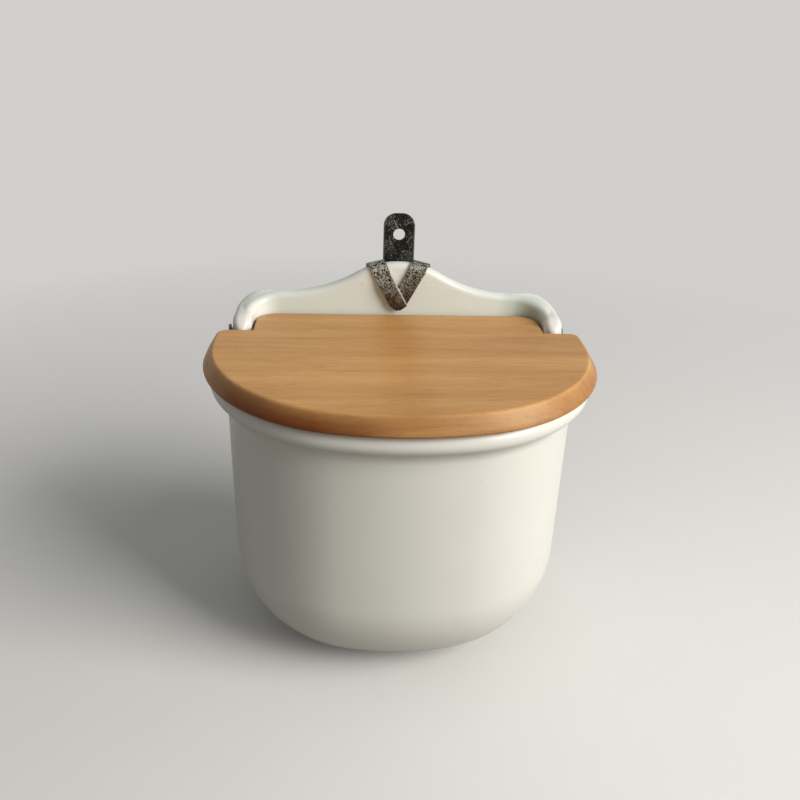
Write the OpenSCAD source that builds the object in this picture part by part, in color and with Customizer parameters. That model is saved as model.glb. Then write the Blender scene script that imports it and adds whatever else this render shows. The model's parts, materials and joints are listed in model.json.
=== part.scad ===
// Wall salt box: a glazed pot with a flat back and two hinge ears, a wooden lid that
// swings on two pins, and a sheet iron hanger folded over the top of the back plate.
// The bottom stands on z = 0, the flat back faces +Y and the front faces -Y.

/* [Outline] */
// Width of the lid, which overhangs the pot
lid_w = 160; // [152:1:176]
// Step of the 9-40-41 triangle between the centres of the front arc and a corner arc
arc_step = 1.4; // [1.3:0.05:1.6]
// Depth from the centres of the corner arcs to the flat back
back_depth = 42; // [40:1:56]

/* [Pot] */
// Height of the rim
pot_h = 127; // [112:1:145]
// How far the pot's wall stands in from the lid's edge
wall_in = 8.7; // [7.5:0.1:11]
// How far the rim stands in from the lid's edge
rim_in = 2.3; // [1:0.1:3.5]
// Radius of the rim's bead
rim_r = 4.5; // [3.5:0.1:5.2]
// Radius of the hollow under the bead
rim_hollow_r = 7; // [5:0.5:10]
// Length of rim beside the ears, behind the corner arcs
rim_tail = 24; // [16:1:28]
// Rounding of the mouth's inner edge
mouth_r = 3.5; // [2:0.1:4]
// Thickness of the pot's wall
wall_t = 5; // [4.5:0.1:6.5]
// Thickness of the pot's floor
floor_t = 5.5; // [4.5:0.1:8]
// Radius between the bottom and the round wall
foot_r = 45; // [34:1:48]
// Radius between the bottom and the flat back
back_foot_r = 12; // [6:1:18]
// Radius of the upright corners at the back
back_corner_r = 6; // [4:0.5:9]
// Width of the ring that the pot stands on
foot_ring_w = 5; // [3:0.5:7]
// Depth of the recess inside that ring
foot_recess = 1; // [0.5:0.1:2]

/* [Back plate] */
// Thickness of the back plate
plate_t = 6; // [5:0.1:8]
// Height of the plate's shoulders above the rim
shoulder_h = 17; // [16:0.5:24]
// Rounding of the plate's shoulders
shoulder_r = 10; // [8:0.5:12]
// Radius of the plate's round peak
peak_r = 37; // [34:1:42]
// Step of the 33-56-65 triangle between the centres of the peak and the hollow sweep
sweep_step = 1.55; // [1.4:0.05:1.7]

/* [Ears] */
// Thickness of an ear
ear_t = 8.1; // [7.5:0.1:9]
// Radius of the ear round the hinge axis
knuckle_r = 8; // [6.5:0.1:8.4]
// Rounding of the ear's edges
ear_edge_r = 3; // [2:0.1:3.5]
// Radius of the inside corner between ear and plate
web_r = 10; // [7:0.5:10.5]
// Height of the ear's inner swelling below the rim
corbel_h = 18; // [14:1:26]

/* [Lid] */
// Thickness of the lid
lid_t = 7.5; // [6:0.1:8.5]
// Width of the bevel round the lid's upper edge
bevel_w = 3.8; // [2:0.1:5]
// Rounding of the lid's lower edge
lid_edge_r = 1.4; // [0.5:0.1:2]
// Rounding of the lid's two back corners on the top face
lid_corner_r = 3.5; // [2:0.5:6]
// Gap between the lid's tongue and an ear
tongue_gap = 1.2; // [0.6:0.1:2]
// Reach of the tongue behind the hinge axis
tongue_tail = 11.7; // [9:0.1:11.8]
// Rounding of the tongue's two corners
tongue_corner_r = 8.5; // [7:0.5:11]
// Gap from the hinge axis to the shoulders in front of the ears
notch_gap = 9.4; // [9.3:0.1:11]
// Gap under the closed lid, over the rim
rest_gap = 0.3; // [0.2:0.1:0.6]

/* [Hinge] */
// Distance from the flat back to the hinge axis
hinge_back = 19; // [19:0.5:22]
// Diameter of a hinge pin
pin_d = 2.2; // [1.8:0.1:3]
// Length of a hinge pin under its head
pin_l = 24; // [20:1:32]
// Diameter of a pin's head
pin_head_d = 5.2; // [4:0.1:6]
// Thickness of a pin's head
pin_head_t = 0.7; // [0.5:0.1:1.2]
// Gap between the left pin's head and its ear
left_head_gap = 1.3; // [0.2:0.1:2]
// Gap between the right pin's head and its ear
right_head_gap = 0.3; // [0.2:0.1:2]
// Running clearance round a pin in its ear
pin_clear = 0.08; // [0.03:0.01:0.1]

/* [Hanger] */
// Thickness of the sheet iron
strap_t = 1.2; // [0.8:0.1:1.5]
// Gap between the iron and the glaze
strap_gap = 0.1; // [0.05:0.05:0.3]
// Width of the upright tongue
strap_w = 13.7; // [12:0.1:16]
// Width of each folded arm
arm_w = 7; // [5.5:0.1:8]
// Slit that parts the arms from the tongue
slit = 0.2; // [0.1:0.1:0.6]
// Slope of the folds, half the lean of the arms
fold_slope = 14; // [12:0.5:15]
// Height of the tongue above the peak of the plate
strap_rise = 20.4; // [17:0.1:30]
// Rounding of the tongue's upper corners
strap_corner_r = 5.6; // [3:0.1:5.9]
// Length of the slits below the folds
slit_l = 10.5; // [8:0.5:14]
// Straight length of the left arm before it steps over the right one
step_start = 1; // [0.5:0.5:2]
// Length of that step
step_l = 5.5; // [4:0.5:7]
// Diameter of the hanging hole
hole_d = 5.2; // [4:0.1:6]
// Distance from the tongue's top to the centre of the hole
hole_drop = 9.2; // [8:0.1:11]
// Drop from the plate's peak to the blunt tip of the arms
tip_drop = 20.9; // [19:0.1:21.5]
// Width of the blunt tip
tip_w = 2; // [1:0.1:3]
// Height of the corners cut off at the tip
tip_cut_h = 1.9; // [1:0.1:2.5]
// Diameter of the rivet
rivet_d = 2.2; // [1.6:0.1:2.6]
// Diameter of the rivet's heads
rivet_head_d = 3.4; // [3.2:0.1:4.2]
// Thickness of the rivet's heads
rivet_head_t = 0.6; // [0.4:0.1:0.9]
// Height of the rivet above the blunt tip
rivet_rise = 5.4; // [4:0.1:6]
// Clearance round the rivet
rivet_clear = 0.1; // [0.05:0.05:0.3]

/* [Hidden] */
$fn = 128;

half_w = lid_w / 2;
far = 400;

// The outline is a front arc between two corner arcs that it meets without a kink,
// and straight sides behind them. y = 0 runs through the corner arcs' centres here.
// Arcs meet exactly because a triangle of whole numbers joins their centres.
arc_sides = [9, 40, 41];
corner_x = arc_sides[0] * arc_step;
front_cy = arc_sides[1] * arc_step;
corner_r = half_w - corner_x;
front_r = corner_r + arc_sides[2] * arc_step;

// The plane between the two arcs runs from the front arc's centre through the corner
// arc's, out to this point
split_steps = 6;
split_x = split_steps * corner_x;
split_y = (1 - split_steps) * front_cy;

wall_x = half_w - wall_in;
rim_out = wall_in - rim_in;
inner_in = wall_in + wall_t;
plate_y = back_depth - plate_t;

lid_z = pot_h + rest_gap;
hinge_y = back_depth - hinge_back;
hinge_z = lid_z + lid_t / 2;
notch_y = hinge_y - notch_gap;
ear_in_x = wall_x - ear_t;

shoulder_z = pot_h + shoulder_h;
sweep_sides = [33, 56, 65];
sweep_r = sweep_sides[2] * sweep_step - peak_r;
sweep_cx = sweep_sides[0] * sweep_step;
sweep_cz = shoulder_z + sweep_r;
peak_cz = sweep_cz - sweep_sides[1] * sweep_step;
peak_z = peak_cz + peak_r;
plate_edge_r = plate_t / 2;
plate_mid_y = back_depth - plate_edge_r;
shoulder_cx = wall_x - shoulder_r;
shoulder_cz = shoulder_z - shoulder_r;
corbel_z = pot_h - corbel_h;

// The plane between the peak's arc and the sweep's arc runs from the peak's centre
// through the sweep's, out to this point
line_x = 2 * sweep_cx;
line_z = 2 * sweep_cz - peak_cz;

// The fold of an arm wraps the plate's round top edge. Its axis slopes down and
// outwards, and the arm creeps inwards along it as it goes over the edge.
bend_r = plate_edge_r + strap_gap;
fold_x = (peak_r - plate_edge_r) * sin(fold_slope);
fold_z = peak_cz + (peak_r - plate_edge_r) * cos(fold_slope);
arm_x0 = strap_w / 2 + slit;
arm_x1 = arm_x0 + arm_w;
fold_a0 = (arm_x0 - fold_x) / cos(fold_slope);
fold_a1 = (arm_x1 - fold_x) / cos(fold_slope);
creep = PI * (bend_r + strap_t / 2) * tan(fold_slope);
lean = 2 * fold_slope;
tip_z = peak_z - tip_drop;
rivet_z = tip_z + rivet_rise;
strap_top_z = peak_z + strap_rise;
strap_y = plate_mid_y + bend_r;
under_y = plate_mid_y - bend_r;
over_y = under_y - strap_t - strap_gap;
overlap = 1;

// The frame's origin is the middle of the whole part's depth
front_reach = front_r - front_cy;
back_reach = strap_y + strap_t;
centre_y = (front_reach - back_reach) / 2;

// Sweep a section round the outline, as a solid from the middle outwards. The section
// reads $reach, its distance from the axis or mid plane to the swept edge. Each arc is
// cut from a whole turn by the same slanted plane, so the pieces meet face to face.
module in_front() {
    intersection() {
        children();
        translate([-far, -far, -overlap]) cube([2 * far, far, far]);
    }
}

module front_arc(inset) {
    $reach = front_r - inset;
    in_front()
        intersection() {
            translate([0, front_cy, 0]) rotate_extrude() children();
            translate([0, 0, -overlap])
                linear_extrude(height = far)
                    polygon([[0, front_cy], [-split_x, split_y], [split_x, split_y]]);
        }
}

module corner_arc(inset) {
    $reach = corner_r - inset;
    in_front()
        intersection() {
            translate([corner_x, 0, 0]) rotate_extrude() children();
            translate([0, 0, -overlap])
                linear_extrude(height = far)
                    polygon([[0, front_cy], [split_x, split_y], [far, split_y], [far, front_cy]]);
        }
}

module side_run(inset, depth) {
    $reach = half_w - inset;
    translate([0, depth, 0])
        rotate([90, 0, 0])
            linear_extrude(height = depth) children();
}

module outline_sweep(inset, depth) {
    front_arc(inset) children();
    for (side = [0, 1])
        mirror([side, 0, 0]) {
            corner_arc(inset) children();
            side_run(inset, depth) children();
        }
}

// Section of a pot from the axis to $reach, with a round lower edge
module pot_section(low_z, high_z, edge_r) {
    translate([0, low_z]) square([$reach - edge_r, high_z - low_z]);
    translate([0, low_z + edge_r]) square([$reach, high_z - low_z - edge_r]);
    intersection() {
        translate([$reach - edge_r, low_z + edge_r]) circle(r = edge_r);
        translate([$reach - edge_r, low_z]) square(edge_r);
    }
}

// Section of the hollow, which flares by mouth_r at the rim
module hollow_section() {
    pot_section(floor_t, pot_h + overlap, foot_r - wall_t);
    difference() {
        translate([$reach - overlap, pot_h - mouth_r]) square([overlap + mouth_r, mouth_r + overlap]);
        translate([$reach + mouth_r, pot_h - mouth_r]) circle(r = mouth_r);
    }
}

// Section of the rim's bead with the hollow below it, seated in the wall
module bead_section() {
    bead_x = $reach + rim_out - rim_r;
    bead_z = pot_h - rim_r;
    hollow_x = $reach + rim_hollow_r;
    hollow_z = bead_z - sqrt(pow(rim_r + rim_hollow_r, 2) - pow(hollow_x - bead_x, 2));
    root_x = $reach - wall_t / 2;
    translate([bead_x, bead_z]) circle(r = rim_r);
    translate([root_x, bead_z]) square([bead_x - root_x, rim_r]);
    difference() {
        polygon([[root_x, hollow_z], [hollow_x, hollow_z], [bead_x, bead_z], [root_x, bead_z]]);
        translate([hollow_x, hollow_z]) circle(r = rim_hollow_r);
    }
}

// Piece that rounds an edge or corner to radius r when it is cut away: its flat
// sides face +x and +y, and the round centre is the origin
module round_cutter(r, length) {
    linear_extrude(height = length)
        difference() {
            square(r + overlap);
            circle(r = r);
        }
}

module upright_corner_cutters(x, y, r) {
    for (side = [0, 1])
        mirror([side, 0, 0])
            translate([x - r, y - r, -overlap]) round_cutter(r, far);
}

module pot_shell() {
    difference() {
        union() {
            outline_sweep(wall_in, back_depth) pot_section(0, pot_h, foot_r);
            outline_sweep(wall_in, rim_tail) bead_section();
            for (side = [0, 1])
                mirror([side, 0, 0]) rim_end();
        }
        pot_hollow();
        back_edge_cutter(back_foot_r, back_depth, 0);
        foot_hollow();
    }
}

// The bead ends in a round nose beside the ear
module rim_end() {
    translate([wall_x, rim_tail, 0])
        rotate_extrude(angle = 90) {
            $reach = 0;
            intersection() {
                bead_section();
                square([far, far]);
            }
        }
}

// Rounds the edge between a bottom at z and a back at y
module back_edge_cutter(r, y, z) {
    translate([-far / 2, y - r, z + r])
        rotate([0, 90, 0])
            round_cutter(r, far);
}

module pot_hollow() {
    difference() {
        outline_sweep(inner_in, plate_y) hollow_section();
        upright_corner_cutters(half_w - inner_in, plate_y, web_r);
        back_edge_cutter(back_foot_r - plate_t, plate_y, floor_t);
    }
}

module foot_hollow() {
    inset = wall_in + foot_r + foot_ring_w;
    translate([0, 0, -overlap])
        outline_sweep(inset, back_depth - back_foot_r - foot_ring_w)
            square([$reach, overlap + foot_recess]);
}

module peak_sector() {
    polygon([[0, peak_cz], [line_x, line_z], [-line_x, line_z]]);
}

module sweep_sector() {
    intersection() {
        polygon([[0, peak_cz], [line_x, line_z], [line_x, 0], [0, 0]]);
        square([sweep_cx, sweep_cz]);
    }
}

// Front view of the plate inside its round edge
module plate_core_outline() {
    core_z = shoulder_z - plate_edge_r;
    core_corner_r = shoulder_r - plate_edge_r;
    intersection() {
        translate([0, peak_cz]) circle(r = peak_r - plate_edge_r);
        peak_sector();
    }
    for (side = [0, 1])
        mirror([side, 0]) {
            difference() {
                intersection() {
                    translate([0, corbel_z]) square([sweep_cx, sweep_cz - corbel_z]);
                    sweep_sector();
                }
                translate([sweep_cx, sweep_cz]) circle(r = sweep_r + plate_edge_r);
            }
            translate([sweep_cx, corbel_z]) square([shoulder_cx - sweep_cx, core_z - corbel_z]);
            translate([shoulder_cx, corbel_z]) square([core_corner_r, shoulder_cz - corbel_z]);
            translate([shoulder_cx, shoulder_cz])
                intersection() {
                    circle(r = core_corner_r);
                    square(shoulder_r);
                }
        }
}

// Round edge along an arc, cut to a sector of the front view
module edge_ring(x, z, ring_r) {
    intersection() {
        translate([x, plate_mid_y, z])
            rotate([90, 0, 0])
                rotate_extrude() translate([ring_r, 0]) circle(r = plate_edge_r);
        upright_slab(2 * plate_edge_r) children();
    }
}

// Front view outline raised to a slab centred on the plate's mid plane
module upright_slab(thick) {
    translate([0, plate_mid_y + thick / 2, 0])
        rotate([90, 0, 0])
            linear_extrude(height = thick) children();
}

module back_plate() {
    upright_slab(plate_t) plate_core_outline();
    edge_ring(0, peak_cz, peak_r - plate_edge_r) peak_sector();
    for (side = [0, 1])
        mirror([side, 0, 0]) {
            edge_ring(sweep_cx, sweep_cz, sweep_r + plate_edge_r) sweep_sector();
            edge_ring(shoulder_cx, shoulder_cz, shoulder_r - plate_edge_r)
                translate([shoulder_cx, shoulder_cz]) square(shoulder_r);
            translate([sweep_cx, plate_mid_y, shoulder_z - plate_edge_r])
                rotate([0, 90, 0]) cylinder(r = plate_edge_r, h = shoulder_cx - sweep_cx);
            translate([wall_x - plate_edge_r, plate_mid_y, corbel_z])
                cylinder(r = plate_edge_r, h = shoulder_cz - corbel_z);
        }
}

// Section across an ear: x = 0 is its inner face, y = 0 is the hinge axis
module ear_section(foot) {
    translate([0, -foot]) square([ear_t, foot + knuckle_r - ear_edge_r]);
    translate([ear_edge_r, 0]) square([ear_t - 2 * ear_edge_r, knuckle_r]);
    for (x = [ear_edge_r, ear_t - ear_edge_r])
        translate([x, knuckle_r - ear_edge_r]) circle(r = ear_edge_r);
}

module ear() {
    // Knuckle round the hinge axis
    translate([ear_in_x, hinge_y, hinge_z])
        rotate([90, 0, 90])
            rotate_extrude()
                rotate([0, 0, 90])
                    mirror([0, 1]) ear_section(0);
    // Straight run back to the plate
    translate([ear_in_x, plate_mid_y, hinge_z])
        rotate([90, 0, 0])
            linear_extrude(height = plate_mid_y - hinge_y) ear_section(hinge_z - pot_h);
    ear_root();
    ear_web();
}

// The ear's foot, which swells inwards from the wall below the rim
module ear_root() {
    inner_x = wall_x - wall_t;
    seat_x = wall_x - wall_t / 2;
    lean_z = pot_h - corbel_h / 2;
    mouth_z = pot_h - mouth_r;
    translate([0, plate_mid_y, 0])
        rotate([90, 0, 0])
            linear_extrude(height = plate_mid_y - hinge_y + knuckle_r)
                polygon([
                    [ear_in_x, hinge_z], [ear_in_x, lean_z], [inner_x, corbel_z], [seat_x, corbel_z],
                    [seat_x, mouth_z], [wall_x, mouth_z], [wall_x, hinge_z]
                ]);
}

// The ear turns into the plate round an upright axis
module ear_web() {
    intersection() {
        translate([ear_in_x - web_r, plate_y - web_r, hinge_z])
            rotate_extrude(angle = 90)
                translate([web_r, 0]) ear_section(hinge_z - pot_h + corbel_h / 2);
        cube([far, plate_mid_y, far]);
    }
}

module ear_bore() {
    translate([ear_in_x - overlap, hinge_y, hinge_z])
        rotate([0, 90, 0]) cylinder(d = pin_d + 2 * pin_clear, h = ear_t + 2 * overlap);
}

module along_depth(x, z, y_from, y_to, d) {
    translate([x, y_to, z])
        rotate([90, 0, 0]) cylinder(d = d, h = y_to - y_from);
}

module ceramic_pot() {
    color("#F1EEE6")
        translate([0, centre_y, 0])
            difference() {
                union() {
                    pot_shell();
                    back_plate();
                    for (side = [0, 1])
                        mirror([side, 0, 0]) ear();
                }
                for (side = [0, 1])
                    mirror([side, 0, 0]) ear_bore();
                upright_corner_cutters(wall_x, back_depth, back_corner_r);
                along_depth(0, rivet_z, plate_y - overlap, back_depth + overlap, rivet_d + 2 * rivet_clear);
            }
}

// Section of the lid from the middle to $reach: flat under and over, a small round at
// the lower edge, then the long bevel
module lid_section() {
    square([$reach - lid_edge_r, lid_edge_r]);
    intersection() {
        translate([$reach - lid_edge_r, lid_edge_r]) circle(r = lid_edge_r);
        translate([$reach - lid_edge_r, 0]) square(lid_edge_r);
    }
    polygon([[0, lid_edge_r], [$reach, lid_edge_r], [$reach - bevel_w, lid_t], [0, lid_t]]);
}

module lid_shoulder() {
    turn_r = lid_corner_r + bevel_w;
    $reach = turn_r;
    intersection() {
        translate([half_w - turn_r, notch_y - lid_corner_r, 0])
            rotate_extrude(angle = 90) lid_section();
        cube([far, notch_y, lid_t]);
    }
    translate([0, notch_y - lid_corner_r, 0])
        cube([half_w - turn_r, lid_corner_r, lid_t]);
}

module lid_tongue() {
    tail_y = hinge_y + tongue_tail;
    half_tongue = ear_in_x - tongue_gap;
    linear_extrude(height = lid_t) {
        translate([-half_tongue, notch_y - overlap])
            square([2 * half_tongue, tail_y - tongue_corner_r - notch_y + overlap]);
        translate([-half_tongue + tongue_corner_r, notch_y])
            square([2 * (half_tongue - tongue_corner_r), tail_y - notch_y]);
        for (side = [-1, 1])
            translate([side * (half_tongue - tongue_corner_r), tail_y - tongue_corner_r])
                circle(r = tongue_corner_r);
    }
}

// Inner end of a pin's shank, measured from the mid plane
function pin_end_x(head_gap) = wall_x + head_gap - pin_l;

module lid_pin_bore(head_gap) {
    translate([pin_end_x(head_gap), hinge_y, hinge_z])
        rotate([0, 90, 0]) cylinder(d = pin_d, h = far);
}

module lid() {
    color("#BA8E60")
        translate([0, centre_y, 0])
            difference() {
                translate([0, 0, lid_z]) {
                    outline_sweep(0, notch_y - lid_corner_r) lid_section();
                    for (side = [0, 1])
                        mirror([side, 0, 0]) lid_shoulder();
                    lid_tongue();
                }
                mirror([1, 0, 0]) lid_pin_bore(left_head_gap);
                lid_pin_bore(right_head_gap);
            }
}

// Panel pin lying along +x, with its point at the lid's side
module hinge_pin(head_gap) {
    point_l = pin_d;
    translate([pin_end_x(head_gap), hinge_y + centre_y, hinge_z])
        rotate([0, 90, 0]) {
            cylinder(d1 = 0, d2 = pin_d, h = point_l);
            translate([0, 0, point_l]) cylinder(d = pin_d, h = pin_l - point_l);
            translate([0, 0, pin_l]) cylinder(d = pin_head_d, h = pin_head_t);
        }
}

module hinge_pin_left() {
    color("#3B3835") mirror([1, 0, 0]) hinge_pin(left_head_gap);
}

module hinge_pin_right() {
    color("#3B3835") hinge_pin(right_head_gap);
}

// Point on the right fold's axis line, in the front view
function on_fold(a) = [fold_x + a * cos(fold_slope), fold_z - a * sin(fold_slope)];

// Front view of the strap behind the plate, with the tongue above it
module strap_back_outline() {
    top_r = strap_corner_r;
    translate([-strap_w / 2, tip_z]) square([strap_w, strap_top_z - top_r - tip_z]);
    translate([-strap_w / 2 + top_r, tip_z]) square([strap_w - 2 * top_r, strap_top_z - tip_z]);
    for (side = [-1, 1])
        translate([side * (strap_w / 2 - top_r), strap_top_z - top_r]) circle(r = top_r);
    for (side = [0, 1])
        mirror([side, 0]) arm_root_outline();
}

module arm_root_outline() {
    slit_z = fold_z - slit_l;
    polygon([
        [0, tip_z], [arm_x1, tip_z], on_fold(fold_a1), on_fold(fold_a0), [arm_x0, slit_z], [0, slit_z]
    ]);
}

// Half tube over the plate's top edge, cut aslant so that the arm creeps inwards
module arm_fold() {
    outer_r = bend_r + strap_t;
    translate([fold_x, plate_mid_y, fold_z])
        rotate([0, fold_slope, 0])
            intersection() {
                translate([-far / 2, 0, 0])
                    rotate([0, 90, 0])
                        difference() {
                            cylinder(r = outer_r, h = far);
                            translate([0, 0, -overlap]) cylinder(r = bend_r, h = far + 2 * overlap);
                        }
                linear_extrude(height = 2 * outer_r)
                    polygon([
                        [fold_a0, outer_r], [fold_a1, outer_r],
                        [fold_a1 - creep, -outer_r], [fold_a0 - creep, -outer_r]
                    ]);
            }
}

// Front view of the right arm, cut to the outer edge of the V and its blunt tip
module arm_outline() {
    top_in = on_fold(fold_a0 - creep);
    top_out = on_fold(fold_a1 - creep);
    cut_z = tip_z + tip_cut_h;
    edge_x = top_out[0] - (top_out[1] - cut_z) * tan(lean);
    run = far * [sin(lean), cos(lean)];
    intersection() {
        polygon([top_in, top_out, top_out - run, top_in - run]);
        polygon([
            [-top_out[0], top_out[1]], [-top_out[0], far], [top_out[0], far], top_out,
            [edge_x, cut_z], [tip_w / 2, tip_z], [-tip_w / 2, tip_z], [-edge_x, cut_z]
        ]);
    }
}

// Arm on the plate's face: the upper one steps out over the other after the fold
module arm_leg(step) {
    ramp = step_start + step_l;
    intersection() {
        translate([fold_x, under_y, fold_z])
            rotate([0, lean, 0])
                rotate([0, 90, 0])
                    translate([0, 0, -far])
                        linear_extrude(height = 2 * far)
                            polygon([
                                [-far, 0], [step_start, 0], [ramp, -step], [far, -step],
                                [far, -step - strap_t], [ramp, -step - strap_t],
                                [step_start, -strap_t], [-far, -strap_t]
                            ]);
        translate([0, back_depth, 0])
            rotate([90, 0, 0]) linear_extrude(height = back_depth) arm_outline();
    }
}

module hanger_strap() {
    color("#4A4642")
        translate([0, centre_y, 0])
            difference() {
                union() {
                    translate([0, strap_y + strap_t, 0])
                        rotate([90, 0, 0])
                            linear_extrude(height = strap_t) strap_back_outline();
                    arm_fold();
                    arm_leg(0);
                    mirror([1, 0, 0]) {
                        arm_fold();
                        arm_leg(strap_t + strap_gap);
                    }
                }
                along_depth(0, strap_top_z - hole_drop, 0, far, hole_d);
                along_depth(0, rivet_z, 0, far, rivet_d + 2 * rivet_clear);
                rivet_sunk_head(rivet_clear);
            }
}

// The rivet's back head is sunk, so that the strap lies flat on a wall
module rivet_sunk_head(clear) {
    translate([0, strap_y + strap_t, rivet_z])
        rotate([90, 0, 0])
            cylinder(d1 = rivet_head_d + 2 * clear, d2 = rivet_d + 2 * clear, h = rivet_head_t);
}

module hanger_rivet() {
    front_y = over_y - strap_t;
    back_y = strap_y + strap_t;
    color("#6B625A")
        translate([0, centre_y, 0]) {
            along_depth(0, rivet_z, front_y, back_y, rivet_d);
            along_depth(0, rivet_z, front_y - rivet_head_t, front_y, rivet_head_d);
            rivet_sunk_head(0);
        }
}

ceramic_pot();
lid();
hinge_pin_left();
hinge_pin_right();
hanger_strap();
hanger_rivet();
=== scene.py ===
"""Looks of a wall salt box: glazed pot, beech lid, iron hanger, on a plain pale floor.

Sizes are in millimetres, and MM turns them into the frame's metres. The pot and the lid are
skins of rings worked out with numpy. The pins, the strap and the rivet are the CAD's own."""

import json
import math

import bpy
import bmesh
import numpy as np
from mathutils import Matrix, Vector


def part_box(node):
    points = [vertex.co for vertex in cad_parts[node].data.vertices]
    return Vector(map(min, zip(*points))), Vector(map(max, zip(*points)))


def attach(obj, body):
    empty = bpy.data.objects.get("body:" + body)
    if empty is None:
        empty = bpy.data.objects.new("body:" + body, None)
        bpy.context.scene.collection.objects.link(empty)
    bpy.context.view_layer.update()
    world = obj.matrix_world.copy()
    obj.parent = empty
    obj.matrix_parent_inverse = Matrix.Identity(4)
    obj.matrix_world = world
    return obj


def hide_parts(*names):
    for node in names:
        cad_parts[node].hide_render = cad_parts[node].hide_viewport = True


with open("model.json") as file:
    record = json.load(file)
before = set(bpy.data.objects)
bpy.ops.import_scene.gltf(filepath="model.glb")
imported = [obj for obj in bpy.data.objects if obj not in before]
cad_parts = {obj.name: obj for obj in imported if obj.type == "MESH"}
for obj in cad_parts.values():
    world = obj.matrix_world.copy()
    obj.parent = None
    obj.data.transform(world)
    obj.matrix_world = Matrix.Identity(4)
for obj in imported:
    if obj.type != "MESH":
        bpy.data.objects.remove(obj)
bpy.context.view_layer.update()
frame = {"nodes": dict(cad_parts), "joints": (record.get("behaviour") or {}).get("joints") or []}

MM = 0.001
HALF_PI = math.pi / 2
pot_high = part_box("ceramic_pot")[1] / MM
lid_low, lid_high = (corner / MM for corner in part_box("lid"))
strap_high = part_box("hanger_strap")[1] / MM
frame_hinge_y, hinge_z = (place / MM for place in frame["joints"][0]["pos_m"][1:])

# Plan of the box. Its y = 0 runs through the centres of the corner arcs, and SHIFT_Y moves it
# into the frame. The front arc meets the corner arcs in tangents, by a 9, 40, 41 triangle.
HALF_W = lid_high.x
BACK_DEPTH = 42
SHIFT_Y = pot_high.y - BACK_DEPTH
ARC_STEP = 1.4
ARC_TRIANGLE = (9, 40, 41)
CORNER_X = ARC_TRIANGLE[0] * ARC_STEP
FRONT_CY = ARC_TRIANGLE[1] * ARC_STEP
CORNER_R = HALF_W - CORNER_X
FRONT_R = CORNER_R + ARC_TRIANGLE[2] * ARC_STEP
JOINT_A = math.atan2(ARC_TRIANGLE[0], ARC_TRIANGLE[1])

# Pieces of the pot's plan, from the front middle to the back middle
FRONT, CORNER, SIDE, TURN, PLATE = range(5)

# Pot: walls and foot. The foot's profile is in pairs of drawn in and height.
WALL_IN = 8.7
WALL_T = 5
WALL_X = HALF_W - WALL_IN
WALL_ROWS_Z = (55, 68, 82, 96, 106)
FLOOR_T = 5.5
FOOT_R = 45
BACK_FOOT_R = 12
BACK_CORNER_R = 10
FOOT_RING_W = 5
FOOT_CORNER_R = 3.5
FOOT_PROFILE = ((0.8, 1), (0.2, 1), (-0.2, 0.8), (-0.5, 0.2), (-1.1, 0))
INNER_DOWN = (8, 10, 12, 14, 16, 18)
INNER_ROWS_Z = (100, 85, 65)

# Pot: beaded rim, with the hollow under it and the ledge where the ears rise from it. The
# ledge's profile is in pairs of stood out and height.
RIM_Z = 127
RIM_OUT = 6.4
RIM_R = 4.5
HOLLOW_R = 7
MOUTH_R = 3.5
BEAD_ENDS = (1, 7)
LEDGE_R = 0.8
LEDGE_LIFT = 0.8
LEDGE_PROFILE = ((1.3, 0.02), (0.5, 0.2), (0.1, 0.55))
LIP_W = 0.4
LIP_START = 0.2

# Pot: ears and back plate. Sweep and peak meet in a tangent, by a 33, 56, 65 triangle.
PLATE_T = 6
PLATE_FACE_Y = pot_high.y - PLATE_T
EDGE_R = 2.95
HINGE_Y = frame_hinge_y - SHIFT_Y
NOTCH_Y = HINGE_Y - 9.4
KNUCKLE_R = 8
NOSE_Y = HINGE_Y - KNUCKLE_R
NOSE_RUN = 4
NOSE_SHARE = 0.6
NOSE_END_A = 0.3
FILLET_R = 2.4
FILLET_Y = NOSE_Y - FILLET_R - 0.1
EAR_TOP_Z = hinge_z + KNUCKLE_R
EAR_SWELL = 3.1
SWELL_ENDS = (-1.5, 4)
SWELL_FADE = (18, 9)
WEB_R = 10
RISE_FROM = 6
RISE_TO = 26
SHOULDER_Z = 144
PEAK_R = 37
SWEEP_STEP = 1.55
PEAK_TRIANGLE = (33, 56, 65)
SWEEP_CX = PEAK_TRIANGLE[0] * SWEEP_STEP
SWEEP_R = PEAK_TRIANGLE[2] * SWEEP_STEP - PEAK_R
SWEEP_CZ = SHOULDER_Z + SWEEP_R
PEAK_CZ = SWEEP_CZ - PEAK_TRIANGLE[1] * SWEEP_STEP
PEAK_JOIN_X = PEAK_R * PEAK_TRIANGLE[0] / PEAK_TRIANGLE[2]
PLATE_PIVOT_X = 45
PIVOT_SHARE = 0.85

# Lid
LID_T = lid_high.z - lid_low.z
BEVEL_W = 3.8
BEVEL_SOFT = 1.3
LID_EDGE_R = 1.4
LID_BACK_R = 0.4
LID_CORNER_R = 3.5
TONGUE_X = 62
TONGUE_CORNER_R = 8.5
TONGUE_EDGE = 0.6
TAIL_Y = lid_high.y - SHIFT_Y

# Hanger: the V's tip, how far the tongue reaches in from the strap's back, and in the front
# view the painted highlight along the left arm's edge and the scratch above the hole
TIP_Z = 137.05
TONGUE_DEPTH = 1.6
EDGE_LEAN = math.radians(28)
EDGE_X = -1.75
EDGE_Z = 150
EDGE_W = 0.22
SCRATCH_X = -1.5
SCRATCH_Z = 173.8
SCRATCH_W = 0.14
SCRATCH_REACH = 1.7
RIVET_SOFT = 0.25
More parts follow.
